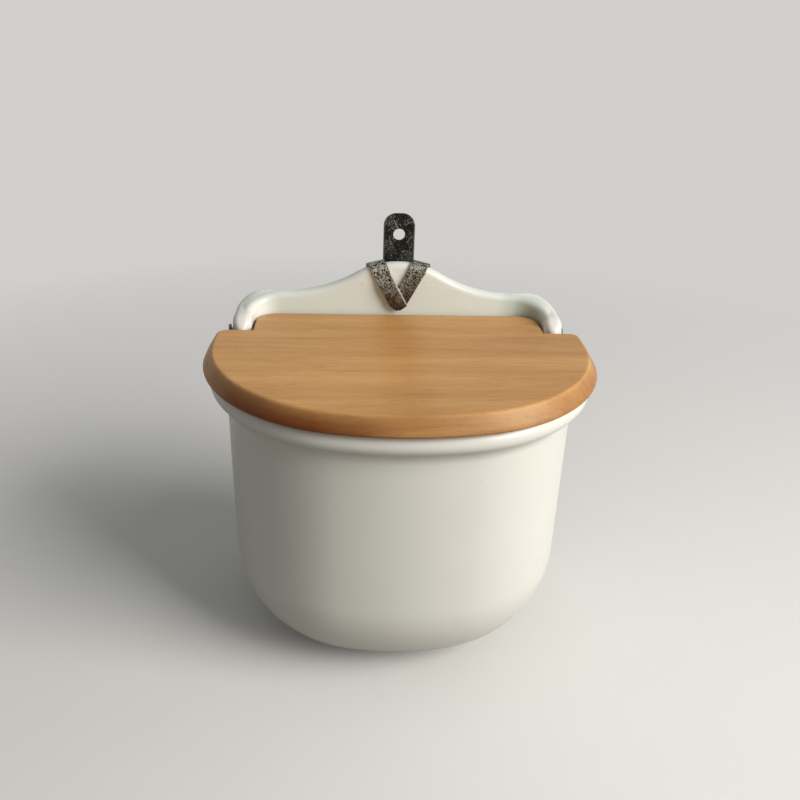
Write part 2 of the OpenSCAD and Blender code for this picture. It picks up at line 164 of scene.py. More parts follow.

# Small marks, at places of the plan: pits in the plate's glaze, the painted shade in the corner
# inside the right ear, and dents in the lid's left bevel
PLATE_PITS = [(-16.1, 36, 148.3), (11.4, 36, 149.2)]
PIT_R = 0.38
EAR_SHADE = (57, 33, 136)
EAR_SHADE_R = 13
LID_DENTS = [(-74.7, -11.9, 134.1), (-76.3, -16.3, 131.6)]
DENT_R = 1.0

# Floor and backdrop
FLOOR_SHADE = (0.79, 0.78, 0.755)
FLOOR_PALE = (0.81, 0.80, 0.775)
FLOOR_BOUNCE = (0.19, 0.17, 0.14)
FLOOR_HALF = 6000
FLOOR_NEAR = 160
FLOOR_FAR = 620
BACKDROP = (0.635, 0.625, 0.605)

# Light, with places and sizes in metres
AMBIENT = (0.245, 0.25, 0.25)
KEY_PLACE = (0.95, -0.58, 0.72)
KEY_AIM = (0, 0, 0.09)
KEY_SIZE = (0.75, 0.75)
KEY_WATTS = 20
KEY_COLOUR = (1.0, 0.985, 0.95)

# Camera, with its angles in degrees
PITCH = 25.94
ROLL = -1.97
BOX_TURN = 3.57
CAMERA_ACROSS = 0.24
CAMERA_AWAY = 305.4
CAMERA_HIGH = 257.5
LENS = 36
SENSOR = 36


def smooth(low, high, x):
    """Smooth step: 0 below low, 1 above high, and 3 t^2 - 2 t^3 between."""
    t = np.clip((x - low) / (high - low), 0, 1)
    return t * t * (3 - 2 * t)


def steps(start, end, count):
    """Even places from start on, which stop short of end."""
    return np.linspace(start, end, count, endpoint=False)


def ring_loop(half):
    """Closes half rings of points (rows, strips, 3) that start and end on x = 0 by their
    mirror."""
    mirrored = half[:, -2:0:-1] * np.array([-1, 1, 1])
    return np.concatenate([half, mirrored], axis=1)


def ring_mesh(name, rings):
    """A closed skin over rings (rows, strips, 3): point (row, strip) joins the next strip and
    the next row in four-sided faces, with a flat cap on the first ring and on the last."""
    rows, strips = rings.shape[:2]
    points = rings.reshape(-1, 3) * MM + np.array([0, SHIFT_Y * MM, 0])
    index = np.arange(rows * strips).reshape(rows, strips)
    here, there = index[:-1], index[1:]
    quads = np.stack([here, np.roll(here, -1, 1), np.roll(there, -1, 1), there], -1)
    faces = quads.reshape(-1, 4).tolist() + [index[0].tolist(), index[-1].tolist()]
    mesh = bpy.data.meshes.new(name)
    mesh.from_pydata(points.tolist(), [], faces)
    work = bmesh.new()
    work.from_mesh(mesh)
    bmesh.ops.recalc_face_normals(work, faces=work.faces)
    work.to_mesh(mesh)
    work.free()
    mesh.shade_smooth()
    piece = bpy.data.objects.new(name, mesh)
    bpy.context.scene.collection.objects.link(piece)
    return piece


# Pot


def corner_rise(run):
    """Height and lean of the edge where it rises from the ear's top to the plate's shoulder,
    by the distance run from the hinge. The height is a smooth step, and the lean is
    slope / sqrt(1 + slope^2)."""
    rise = SHOULDER_Z - EAR_TOP_Z
    share = np.clip((run - RISE_FROM) / (RISE_TO - RISE_FROM), 0, 1)
    slope = rise * 6 * share * (1 - share) / (RISE_TO - RISE_FROM)
    return EAR_TOP_Z + rise * smooth(RISE_FROM, RISE_TO, run), slope / np.hypot(1, slope)


def sweep_and_peak(x, height, lean):
    """Puts the hollow sweep and the peak into the plate's edge. Both are arcs: the sweep lies
    sqrt(r^2 - dx^2) below its centre, and the peak as much above its own."""
    on_peak = x < PEAK_JOIN_X
    on_sweep = ~on_peak & (x < SWEEP_CX)
    sweep_z = SWEEP_CZ - np.sqrt(SWEEP_R ** 2 - np.clip(SWEEP_CX - x, 0, SWEEP_R) ** 2)
    peak_z = PEAK_CZ + np.sqrt(PEAK_R ** 2 - np.clip(x, 0, PEAK_R) ** 2)
    arcs = [on_peak, on_sweep]
    height = np.select(arcs, [peak_z, sweep_z], height)
    return height, np.select(arcs, [x / PEAK_R, (SWEEP_CX - x) / SWEEP_R], lean)


def by_side(piece, ends, start, place):
    """0 on the round front, 1 from the back corner on, and on the side a smooth step between
    the two ends, counted from start."""
    step = smooth(start + ends[0], start + ends[1], place)
    return np.where(piece < SIDE, 0, np.where(piece > SIDE, 1, step))


def squeeze(place, end, full_end, pivot):
    """Keeps places below a pivot and spaces the rest evenly up to a new end."""
    pivot = np.minimum(pivot, PIVOT_SHARE * end)
    spread = (end - pivot) / (full_end - pivot)
    return np.where(place < pivot, place, pivot + (place - pivot) * spread)


def pot_plan(piece, place, side_in, back_in, corner_r):
    """Plan of the pot drawn in by side_in from the lid's edge and by back_in from the back:
    a front arc, two corner arcs, straight sides, back corners of corner_r and the back."""
    side_in, back_in, corner_r, place = np.broadcast_arrays(side_in, back_in, corner_r, place)
    side_x = HALF_W - side_in
    end_x = side_x - corner_r
    end_y = BACK_DEPTH - back_in - corner_r
    side_y = squeeze(place, end_y, BACK_DEPTH - BACK_CORNER_R, HINGE_Y)
    plate_x = squeeze(place, end_x, WALL_X - BACK_CORNER_R, PLATE_PIVOT_X)
    front_r = FRONT_R - side_in
    round_r = CORNER_R - side_in
    on = [piece == FRONT, piece == CORNER, piece == SIDE, piece == TURN]
    x = np.select(on, [
        front_r * np.sin(place), CORNER_X + round_r * np.sin(place),
        side_x, end_x + corner_r * np.cos(place)], plate_x)
    y = np.select(on, [
        FRONT_CY - front_r * np.cos(place), -round_r * np.cos(place),
        side_y, end_y + corner_r * np.sin(place)], BACK_DEPTH - back_in)
    return x, y


class TopEdge:
    """The pot's upper edge from the front middle to the back middle. For each strip it holds
    the piece of the plan, the place there (an angle on arcs, otherwise y or x), the height,
    the edge's normal along the place and up, and the outer and inner rounding.

    The rim is level. A fillet lifts it into the ear, whose nose is an arc round the hinge.
    From the ear it rises in one smooth step round the corner to the plate's shoulder. Then
    come the hollow sweep and the peak."""

    def __init__(self):
        front = steps(0, JOINT_A, 12)
        corner = steps(JOINT_A, HALF_PI, 34)
        rim_y = steps(0, NOTCH_Y - 1, 8)
        fillet_a = np.linspace(-HALF_PI, 0, 8)
        nose_a = steps(math.pi, HALF_PI, 14)
        ear_y = steps(HINGE_Y, BACK_DEPTH - BACK_CORNER_R, 12)
        turn = steps(0, HALF_PI, 14)
        plate_x = np.linspace(WALL_X - BACK_CORNER_R, 0, 56)

        fillet_y = FILLET_Y + FILLET_R * np.cos(fillet_a)
        nose_y = HINGE_Y + KNUCKLE_R * np.cos(nose_a)
        side_y = np.concatenate([rim_y, fillet_y, nose_y, ear_y])
        strips = [front, corner, side_y, turn, plate_x]
        self.piece = np.repeat([FRONT, CORNER, SIDE, TURN, PLATE], [len(s) for s in strips])
        self.place = np.concatenate(strips)

        ear_run = BACK_DEPTH - BACK_CORNER_R - HINGE_Y
        turn_run = BACK_CORNER_R * HALF_PI
        ear_z, ear_lean = corner_rise(ear_y - HINGE_Y)
        turn_z, turn_lean = corner_rise(ear_run + BACK_CORNER_R * turn)
        shoulder = corner_rise(ear_run + turn_run + plate_x[0] - plate_x)
        plate_z, plate_lean = sweep_and_peak(plate_x, *shoulder)

        level = np.zeros(front.size + corner.size + rim_y.size)
        self.height = np.concatenate([
            RIM_Z + level, RIM_Z + FILLET_R * (1 + np.sin(fillet_a)),
            hinge_z + KNUCKLE_R * np.sin(nose_a), ear_z, turn_z, plate_z])
        self.along = np.concatenate([
            level, -np.cos(fillet_a), np.cos(nose_a), -ear_lean,
            -turn_lean / BACK_CORNER_R, plate_lean])
        leans = np.concatenate([ear_lean, turn_lean, plate_lean])
        self.up = np.concatenate([
            1 + level, -np.sin(fillet_a), np.sin(nose_a), np.sqrt(1 - leans ** 2)])

        self.ear = by_side(self.piece, (0, FILLET_R), FILLET_Y, self.place)
        self.outer_r = LEDGE_R + (EDGE_R - LEDGE_R) * self.ear
        self.inner_r = MOUTH_R + (EDGE_R - MOUTH_R) * self.ear
        web = np.where(self.piece == TURN, BACK_CORNER_R / WEB_R, 1)
        self.along_in = self.along * web
        self.outer_place = self.place - self.outer_r * self.along
        self.inner_place = self.place - self.inner_r * self.along_in
        self.outer_z = self.height - self.outer_r * self.up
        self.inner_z = self.height - self.inner_r * self.up
        self.ledge_z = RIM_Z + LEDGE_LIFT * self.ear
        self.swell = EAR_SWELL * by_side(self.piece, SWELL_ENDS, NOTCH_Y, self.inner_place)

    def ring(self, side_in, back_in, corner_r, z, at=None):
        """The plan drawn in, at a height, with its strips at the outer places or at others."""
        at = self.outer_place if at is None else at
        x, y = pot_plan(self.piece, at, side_in, back_in, corner_r)
        return np.stack([x, y, np.broadcast_to(z, x.shape)], -1)

    def wall_ring(self, side_in, z):
        """A ring on the outside, where the back is straight."""
        return self.ring(side_in, 0, BACK_CORNER_R, z)

    def inner_ring(self, drawn, z, at=None):
        """A ring on the inside, opened by drawn. The ears' swell fades out below the rim."""
        at = self.inner_place if at is None else at
        swell = self.swell * smooth(RIM_Z - SWELL_FADE[0], RIM_Z - SWELL_FADE[1], z)
        return self.ring(WALL_IN + WALL_T + swell - drawn, PLATE_T - drawn, WEB_R + drawn, z, at)


def back_foot(rise, radius):
    """How far a quarter circle draws the back in at a rise above the foot, 0 from its radius
    up: r - sqrt(r^2 - (r - rise)^2)."""
    low = max(radius - rise, 0)
    return radius - math.sqrt(radius ** 2 - low ** 2)


def foot_and_wall(edge):
    """Rings of the foot ring with its recess, of the large round bottom edge, which is a
    quarter circle, and of the plain wall."""
    ring_in = WALL_IN + FOOT_R + FOOT_RING_W
    back_in = BACK_FOOT_R + FOOT_RING_W
    rings = [edge.ring(ring_in + more, back_in + more, FOOT_CORNER_R, z)
             for more, z in FOOT_PROFILE]
    for a in np.linspace(0, HALF_PI, 30):
        z = FOOT_R * (1 - math.cos(a))
        side_in = WALL_IN + FOOT_R * (1 - math.sin(a))
        rings.append(edge.ring(side_in, back_foot(z, BACK_FOOT_R), BACK_CORNER_R, z))
    return rings + [edge.wall_ring(WALL_IN, z) for z in WALL_ROWS_Z]


def rim_and_ledge(edge):
    """Rings of the hollow and the bead, two circles that touch and die out beside the ears,
    of the ledge on the rim, and of the ear's or the plate's outer face above it."""
    bead = 1 - by_side(edge.piece, BEAD_ENDS, HINGE_Y, edge.outer_place)
    bead_out = RIM_OUT - RIM_R
    bead_z = RIM_Z - RIM_R
    hollow_z = bead_z - math.sqrt((RIM_R + HOLLOW_R) ** 2 - (HOLLOW_R - bead_out) ** 2)
    meet = math.atan2(bead_z - hollow_z, bead_out - HOLLOW_R)
    rings = []
    for a in steps(math.pi, meet, 7):
        out = HOLLOW_R + HOLLOW_R * math.cos(a)
        rings.append(edge.wall_ring(WALL_IN - bead * out, hollow_z + HOLLOW_R * math.sin(a)))
    for a in np.linspace(meet - math.pi, HALF_PI, 16):
        out = bead_out + RIM_R * math.cos(a)
        rings.append(edge.wall_ring(WALL_IN - bead * out, bead_z + RIM_R * math.sin(a)))
    for out, lift in LEDGE_PROFILE:
        rings.append(edge.wall_ring(WALL_IN - bead * out, RIM_Z + lift * edge.ear))
    for share in steps(0, 1, 4):
        z = np.maximum(edge.ledge_z + (edge.outer_z - edge.ledge_z) * share, edge.ledge_z)
        lip = (1 - edge.ear) * LIP_W * (share + LIP_START)
        rings.append(edge.wall_ring(WALL_IN + lip, z))
    return rings


def nose_in(edge):
    """How far the ear narrows towards its nose: a share of the edge's rounding, by a quarter
    circle over NOSE_RUN."""
    ahead = 1 - smooth(NOSE_Y, NOSE_Y + NOSE_RUN, edge.place)
    narrow = NOSE_SHARE * EDGE_R * edge.ear * (1 - np.sqrt(1 - ahead ** 2))
    return np.where(edge.piece == SIDE, narrow, 0)


def over_edge(edge):
    """Rings over the upper edge: the outer rounding, the flat and the inner rounding. Each
    rounding is a quarter circle in the plane of the edge's normal."""
    nose = nose_in(edge)
    outer = []
    for a in np.linspace(0, HALF_PI, 8):
        drawn = edge.outer_r * (1 - math.cos(a))
        lift = edge.outer_r * math.sin(a)
        side_in = WALL_IN + (1 - edge.ear) * LIP_W + drawn + nose
        z = np.maximum(edge.outer_z + lift * edge.up, edge.ledge_z)
        at = edge.outer_place + lift * edge.along
        outer.append(edge.ring(side_in, drawn, BACK_CORNER_R - drawn, z, at))
    inner = []
    for a in np.linspace(HALF_PI, 0, 8):
        drawn = edge.inner_r * (1 - math.cos(a)) + nose * (a > NOSE_END_A)
        lift = edge.inner_r * math.sin(a)
        at = edge.inner_place + lift * edge.along_in
        inner.append(edge.inner_ring(drawn, edge.inner_z + lift * edge.up, at))
    return [*outer, (outer[-1] + inner[0]) / 2, *inner]


def inner_wall(edge):
    """Rings of the inner wall, from the edge down past the ears' swell, of the round inner
    foot, which is a quarter circle, and of the floor."""
    low_z = RIM_Z - INNER_DOWN[0]
    rings = [edge.inner_ring(0, edge.inner_z + (low_z - edge.inner_z) * share)
             for share in (0.35, 0.7)]
    for z in (*(RIM_Z - down for down in INNER_DOWN), *INNER_ROWS_Z):
        rings.append(edge.inner_ring(0, z))
    wall_in = WALL_IN + WALL_T
    foot_r = FOOT_R - WALL_T
    back_r = BACK_FOOT_R - PLATE_T
    at = edge.inner_place
    for a in np.linspace(HALF_PI, 0, 24):
        rise = foot_r * (1 - math.cos(a))
        side_in = wall_in + foot_r * (1 - math.sin(a))
        back_in = PLATE_T + back_foot(rise, back_r)
        rings.append(edge.ring(side_in, back_in, WEB_R, FLOOR_T + rise, at))
    rings.append(edge.ring(wall_in + foot_r + 1, PLATE_T + back_r + 1, WEB_R, FLOOR_T, at))
    return rings


def relax(rings, bent, rounds=8):
    """Evens the bends of the rings along their run, on the bent strips. Each round moves a
    point half way to the middle of its neighbours, fading out towards the rim."""
    share = 0.5 * bent * smooth(RIM_Z + 1, RIM_Z + 5, rings[..., 2])
    for _ in range(rounds):
        middle = (np.roll(rings, 1, 1) + np.roll(rings, -1, 1)) / 2
        rings = rings + (middle - rings) * share[..., None]
    return rings


def ceramic_pot():
    """The pot as one skin: rings run from the foot up the outside, over the upper edge and
    down the inside to the floor. Each ring is the plan drawn in to suit its height."""
    edge = TopEdge()
    rings = foot_and_wall(edge) + rim_and_ledge(edge) + over_edge(edge) + inner_wall(edge)
    on_ear = (edge.piece == SIDE) & (edge.place > NOSE_Y)
    on_shoulder = (edge.piece == PLATE) & (edge.place > SWEEP_CX)
    bent = on_ear | (edge.piece == TURN) | on_shoulder
    return ring_mesh("pot_glaze_body", ring_loop(relax(np.stack(rings), bent)))


# Lid


def lid_ring(bevel_in, edge_in, z):
    """One ring of the lid: its round front drawn in by bevel_in, and the shoulders' backs and
    the tongue drawn in by edge_in. Arcs and straight runs follow each other from the front
    middle to the tongue's back middle."""
    front = steps(0, JOINT_A, 14)
    corner = steps(JOINT_A, HALF_PI, 40)
    side_y = steps(0, NOTCH_Y - LID_CORNER_R, 6)
    turn_r = LID_CORNER_R + BEVEL_W - bevel_in
    turn_end = math.asin(min(1, (LID_CORNER_R - edge_in) / turn_r))
    turn = np.linspace(0, turn_end, 9)
    notch = np.linspace(0, 1, 6)[1:]
    tongue = np.linspace(0, 1, 10)[1:]
    bend = np.linspace(0, HALF_PI, 12)[1:]
    tail = np.linspace(0, 1, 14)[1:]

    front_r = FRONT_R - bevel_in
    round_r = CORNER_R - bevel_in
    shoulder_x = HALF_W - LID_CORNER_R - BEVEL_W
    start_x = shoulder_x + turn_r * math.cos(turn_end)
    notch_y = NOTCH_Y - edge_in
    inner_x = TONGUE_X - edge_in
    bend_x = TONGUE_X - TONGUE_CORNER_R
    bend_y = TAIL_Y - TONGUE_CORNER_R
    bend_r = TONGUE_CORNER_R - edge_in
    x = np.concatenate([
        front_r * np.sin(front), CORNER_X + round_r * np.sin(corner),
        np.full(side_y.size, HALF_W - bevel_in), shoulder_x + turn_r * np.cos(turn),
        start_x + (inner_x - start_x) * notch, np.full(tongue.size, inner_x),
        bend_x + bend_r * np.cos(bend), bend_x * (1 - tail)])
    y = np.concatenate([
        FRONT_CY - front_r * np.cos(front), -round_r * np.cos(corner),
        side_y, NOTCH_Y - LID_CORNER_R + turn_r * np.sin(turn),
        np.full(notch.size, notch_y), notch_y + (bend_y - notch_y) * tongue,
        bend_y + bend_r * np.sin(bend), np.full(tail.size, TAIL_Y - edge_in)])
    return np.stack([x, y, np.full(x.size, lid_low.z + z)], -1)


def beech_lid():
    """The lid as one skin of rings: flat underside, small lower rounding by a quarter circle,
    straight bevel, its worn edge by an arc from the bevel's slope to level, and flat top."""
    rings = [lid_ring(LID_EDGE_R + 1, LID_BACK_R + 0.8, 0)]
    for a in np.linspace(0, HALF_PI, 6):
        inward = 1 - math.sin(a)
        rise = LID_EDGE_R * (1 - math.cos(a))
        rings.append(lid_ring(LID_EDGE_R * inward, LID_BACK_R * inward, rise))
    slope = math.atan2(LID_T - LID_EDGE_R, BEVEL_W)
    reach = BEVEL_SOFT * math.tan(slope / 2)
    length = math.hypot(LID_T - LID_EDGE_R, BEVEL_W) - reach
    for run in np.linspace(0, length, 5)[1:]:
        rings.append(lid_ring(run * math.cos(slope), 0, LID_EDGE_R + run * math.sin(slope)))
    for a in np.linspace(slope, 0, 7)[1:]:
        inward = BEVEL_W + reach - BEVEL_SOFT * math.sin(a)
        drop = BEVEL_SOFT * (1 - math.cos(a))
        rings.append(lid_ring(inward, TONGUE_EDGE * (1 - a / slope), LID_T - drop))
    rings.append(lid_ring(BEVEL_W + reach + 0.8, TONGUE_EDGE + 0.5, LID_T))
    return ring_mesh("lid_board", ring_loop(np.stack(rings)))


# Materials


class Nodes:
    """Short calls for building one material's nodes, on Object coordinates in metres."""

    def __init__(self, name):
        self.material = bpy.data.materials.new(name)
        self.material.use_nodes = True
        self.tree = self.material.node_tree
        self.shader = self.tree.nodes["Principled BSDF"]
        self.place = self.tree.nodes.new("ShaderNodeTexCoord").outputs["Object"]

    def link(self, source, target):
        self.tree.links.new(source, target)

    def put(self, value, slot):
        """Links a socket into a slot, or sets a number or colour there."""
        if isinstance(value, bpy.types.NodeSocket):
            self.link(value, slot)
        elif isinstance(value, tuple):
            slot.default_value = (*value, 1)
        else:
            slot.default_value = value

    def mapping(self, scale=(1, 1, 1), move=(0, 0, 0)):
        node = self.tree.nodes.new("ShaderNodeMapping")
        node.inputs["Scale"].default_value = scale
        node.inputs["Location"].default_value = move
        self.link(self.place, node.inputs["Vector"])
        return node.outputs["Vector"]

    def noise(self, vector, scale, detail=3, rough=0.5, distortion=0):
        node = self.tree.nodes.new("ShaderNodeTexNoise")
        node.inputs["Scale"].default_value = scale
        node.inputs["Detail"].default_value = detail
        node.inputs["Roughness"].default_value = rough
        node.inputs["Distortion"].default_value = distortion
        self.link(vector, node.inputs["Vector"])
        return node.outputs["Fac"]

    def calc(self, operation, *values):
        node = self.tree.nodes.new("ShaderNodeMath")
        node.operation = operation
        for slot, value in zip(node.inputs, values):
            self.put(value, slot)
        return node.outputs["Value"]

    def plus(self, first, second):
        return self.calc("ADD", first, second)

    def times(self, first, second):
        return self.calc("MULTIPLY", first, second)

    def axis(self, index):
        node = self.tree.nodes.new("ShaderNodeSeparateXYZ")
        self.link(self.place, node.inputs["Vector"])
        return node.outputs[index]

    def from_place(self, place):
        """Distance in metres from a place of the plan in millimetres."""
        node = self.tree.nodes.new("ShaderNodeVectorMath")
        node.operation = "DISTANCE"
        self.link(self.place, node.inputs[0])
        x, y, z = place
        node.inputs[1].default_value = (x * MM, (y + SHIFT_Y) * MM, z * MM)
        return node.outputs["Value"]

    def ramp(self, fac, stops):
        node = self.tree.nodes.new("ShaderNodeValToRGB")
        points = node.color_ramp.elements
        while len(points) < len(stops):
            points.new(0.5)
        for point, (position, colour) in zip(points, stops):
            point.position = position
            point.color = (*colour, 1) if isinstance(colour, tuple) else (*[colour] * 3, 1)
        self.link(fac, node.inputs["Fac"])
        return node.outputs["Color"]

    def fade(self, distance, stops):
        """A ramp over a distance in metres, with its stops in millimetres."""
        first, last = stops[0][0], stops[-1][0]
        node = self.tree.nodes.new("ShaderNodeMapRange")
        node.inputs["From Min"].default_value = first * MM
        node.inputs["From Max"].default_value = last * MM
        self.link(distance, node.inputs["Value"])
        shares = [((at - first) / (last - first), value) for at, value in stops]
        return self.ramp(node.outputs["Result"], shares)

    def mix(self, fac, first, second, blend="MIX"):
        node = self.tree.nodes.new("ShaderNodeMix")
        node.data_type = "RGBA"
        node.blend_type = blend
        for socket, value in (("Factor", fac), ("A", first), ("B", second)):
            self.put(value, [s for s in node.inputs if s.name == socket and s.enabled][0])
        return [s for s in node.outputs if s.enabled][0]

    def tint(self, colour, by, share=1.0):
        """The colour multiplied by another, in full where the share is 1."""
        return self.mix(share, colour, by, "MULTIPLY")

    def stretched(self, vector, scale):
        node = self.tree.nodes.new("ShaderNodeVectorMath")
        node.operation = "MULTIPLY"
        self.link(vector, node.inputs[0])
        node.inputs[1].default_value = scale
        return node.outputs["Vector"]

    def warp(self, vector, amount, reach):
        """Shifts a vector in y and z by an amount times a reach."""
        joined = self.tree.nodes.new("ShaderNodeCombineXYZ")
        for socket in joined.inputs:
            self.link(amount, socket)
        node = self.tree.nodes.new("ShaderNodeVectorMath")
        node.operation = "MULTIPLY_ADD"
        self.link(joined.outputs["Vector"], node.inputs[0])
        node.inputs[1].default_value = (0, reach, reach)
        self.link(vector, node.inputs[2])
        return node.outputs["Vector"]

    def spot(self, place, radius):
        """0.9 near a place of the plan, fading to 0 between 0.4 and 1 times a radius."""
        return self.fade(self.from_place(place), [(0.4 * radius, 0.9), (radius, 0.0)])

    def near_line(self, x, z, lean, width):
        """1 on a line through (x, z) in the front view, fading to 0 between 0.7 and 1.3 times
        a width. Its distance is |(X - x) cos lean + (Z - z) sin lean|."""
        across = self.times(self.plus(self.axis(0), -x * MM), math.cos(lean))
        upward = self.times(self.plus(self.axis(2), -z * MM), math.sin(lean))
        away = self.calc("ABSOLUTE", self.plus(across, upward))
        return self.fade(away, [(0.7 * width, 1.0), (1.3 * width, 0.0)])

    def bump(self, height, strength, depth, after=None):
        """Normals of a height with a depth in millimetres, on top of an earlier bump if there
        is one."""
        node = self.tree.nodes.new("ShaderNodeBump")
        node.inputs["Strength"].default_value = strength
        node.inputs["Distance"].default_value = depth * MM
        self.link(height, node.inputs["Height"])
        if after is not None:
            self.link(after, node.inputs["Normal"])
        return node.outputs["Normal"]

    def finish(self, colour, roughness, normal=None, **fixed):
        """Links the maps into the shader, and sets on its sockets what is the same all over."""
        for socket, value in (("Base Color", colour), ("Roughness", roughness), ("Normal", normal)):
            if value is not None:
                self.put(value, self.shader.inputs[socket])
        for socket, value in fixed.items():
            self.shader.inputs[socket.replace("_", " ")].default_value = value
        return self.material


def glaze_material():
    """Cream-white glaze: almost even colour with faint warm clouds, rare brown specks, two
    pits in the plate and a soft gloss. A painted cool tint on the plate's face takes out the
    warm light that the lid throws back on it, and painted shade darkens the corner inside the
    right ear."""
    warm = (0.755, 0.738, 0.675)
    pale = (0.79, 0.777, 0.717)
    speck_brown = (0.42, 0.36, 0.28)
    pit_brown = (0.34, 0.30, 0.25)
    painted_cool_tint = (0.90, 0.98, 0.985)
    painted_ear_shade = (0.64, 0.70, 0.68)
    n = Nodes("cream_glaze")
    colour = n.ramp(n.noise(n.place, 14), [(0.3, warm), (0.7, pale)])
    specks = n.noise(n.mapping(move=(3, 1, 2)), 420, 2, 0.4)
    colour = n.mix(n.ramp(specks, [(0.20, 0.45), (0.235, 0.0)]), colour, speck_brown)
    for pit in PLATE_PITS:
        colour = n.mix(n.spot(pit, PIT_R), colour, pit_brown)
    # Painted light: a cool tint on the plate's face above the rim takes out the lid's warm bounce
    # light
    face = n.fade(n.axis(1), [
        (PLATE_FACE_Y - 4.75, 0.0), (PLATE_FACE_Y - 0.75, 1.0),
        (PLATE_FACE_Y + 2.25, 1.0), (PLATE_FACE_Y + 4.25, 0.0)])
    above_rim = n.fade(n.axis(2), [
        (RIM_Z - 3, 0.0), (RIM_Z + 5, 1.0), (RIM_Z + 13, 1.0), (RIM_Z + 27, 0.2)])
    colour = n.tint(colour, painted_cool_tint, n.times(face, above_rim))
    # Painted shade in the corner inside the right ear, where the ear keeps the key light off
    inside = n.fade(n.axis(1), [(PLATE_FACE_Y + 1.25, 1.0), (PLATE_FACE_Y + 3.25, 0.0)])
    colour = n.tint(colour, painted_ear_shade, n.times(n.spot(EAR_SHADE, EAR_SHADE_R), inside))
    gloss = n.ramp(n.noise(n.mapping(move=(1, 5, 2)), 60), [(0.3, 0.29), (0.75, 0.36)])
    swell = n.noise(n.mapping((1, 1, 0.6)), 22, 2, 0.4)
    peel = n.noise(n.mapping(move=(2, 2, 7)), 520, 2)
    normal = n.bump(peel, 0.04, 0.3, n.bump(swell, 0.2, 1.0))
    return n.finish(colour, gloss, normal, IOR=1.5)


def beech_material():
    """Oiled beech: irregular grain along x in soft bands and fine dark lines, a darker strip
    across the middle that is a painted reflection of the dark hanger, short pores and a worn
    sheen. Painted shade darkens the board a little at the rear and at the front right, and
    darkens its bevel towards the lower edge and the left."""
    band_tones = [
        (0.30, (0.54, 0.270, 0.090)), (0.5, (0.645, 0.340, 0.121)), (0.72, (0.72, 0.402, 0.152))]
    line_tones = [(0.28, (0.86, 0.82, 0.78)), (0.46, (1.0, 1.0, 1.0)), (0.75, (1.04, 1.04, 1.05))]
    hair_tones = [(0.30, (0.94, 0.93, 0.91)), (0.6, (1.02, 1.02, 1.02))]
    painted_hanger_reflection = (0.82, 0.70, 0.42)
    pore_brown = (0.22, 0.10, 0.035)
    painted_rear_shade = (0.89, 0.88, 0.87)
    right_tint = (0.91, 0.91, 0.92)
    painted_bevel_shade = (0.29, 0.14, 0.02)
    dent_brown = (0.10, 0.045, 0.015)
    n = Nodes("oiled_beech")
    across, depth, height = n.axis(0), n.axis(1), n.axis(2)

    # Grain, pores and a painted reflection
    bend = n.noise(n.mapping((9, 14, 14), move=(2, 0, 0)), 1, 2)
    warped = n.warp(n.place, bend, 0.015)
    bands = n.noise(n.stretched(warped, (3, 34, 34)), 2.2, 4, 0.55)
    lines = n.noise(n.stretched(warped, (9, 210, 210)), 1.6, 4, 0.6)
    hairs = n.noise(n.stretched(warped, (24, 620, 620)), 1.5, 3, 0.6)
    pores = n.ramp(n.noise(n.mapping((140, 1500, 1500)), 1.2, 2), [(0.30, 0.30), (0.40, 0.0)])
    colour = n.tint(n.ramp(bands, band_tones), n.ramp(lines, line_tones))
    colour = n.tint(colour, n.ramp(hairs, hair_tones))
    # Painted reflection: a darker strip across the middle stands in for the dark hanger mirrored in
    # the oiled top
    from_middle = n.calc("ABSOLUTE", n.plus(across, -1 * MM))
    strip = n.fade(n.plus(from_middle, n.times(bend, 6.67 * MM)), [(4.17, 0.35), (15.83, 0.0)])
    colour = n.tint(colour, painted_hanger_reflection, strip)
    colour = n.mix(pores, colour, pore_brown)

    # Painted shade by place, and dents
    # Painted shade: the board darker towards the rear
    rear = n.fade(depth, [(frame_hinge_y - 15.75, 0.0), (frame_hinge_y + 0.25, 1.0)])
    colour = n.tint(colour, painted_rear_shade, rear)
    # Painted shade: the board darker at the front right
    painted_front_right_shade = n.fade(n.calc("SUBTRACT", across, depth), [(10, 0.0), (40, 1.0)])
    colour = n.tint(colour, right_tint, painted_front_right_shade)
    # Painted shade on the bevel, darkest low down and towards the left, away from the key light
    bevel = n.fade(n.plus(height, -lid_low.z * MM), [
        (0.1, 0.0), (0.4, 1.0), (1.6, 1.0), (3.8, 0.90), (6.2, 0.55), (7.2, 0.0)])
    bevel_shade_by_x = n.fade(across, [
        (-75, 0.35), (-65, 0.95), (-53.3, 1.0), (-33.3, 1.0), (-16.7, 0.78),
        (0, 0.34), (20, 0.46), (40, 0.38), (66.7, 0.56), (80, 0.36)])
    colour = n.tint(colour, painted_bevel_shade, n.times(bevel, bevel_shade_by_x))
    for dent in LID_DENTS:
        colour = n.mix(n.spot(dent, DENT_R), colour, dent_brown)

    rough = n.ramp(lines, [(0.2, 0.40), (0.8, 0.52)])
    normal = n.bump(hairs, 0.10, 0.3, n.bump(lines, 0.12, 0.4))
    return n.finish(colour, rough, normal, Specular_IOR_Level=0.28)


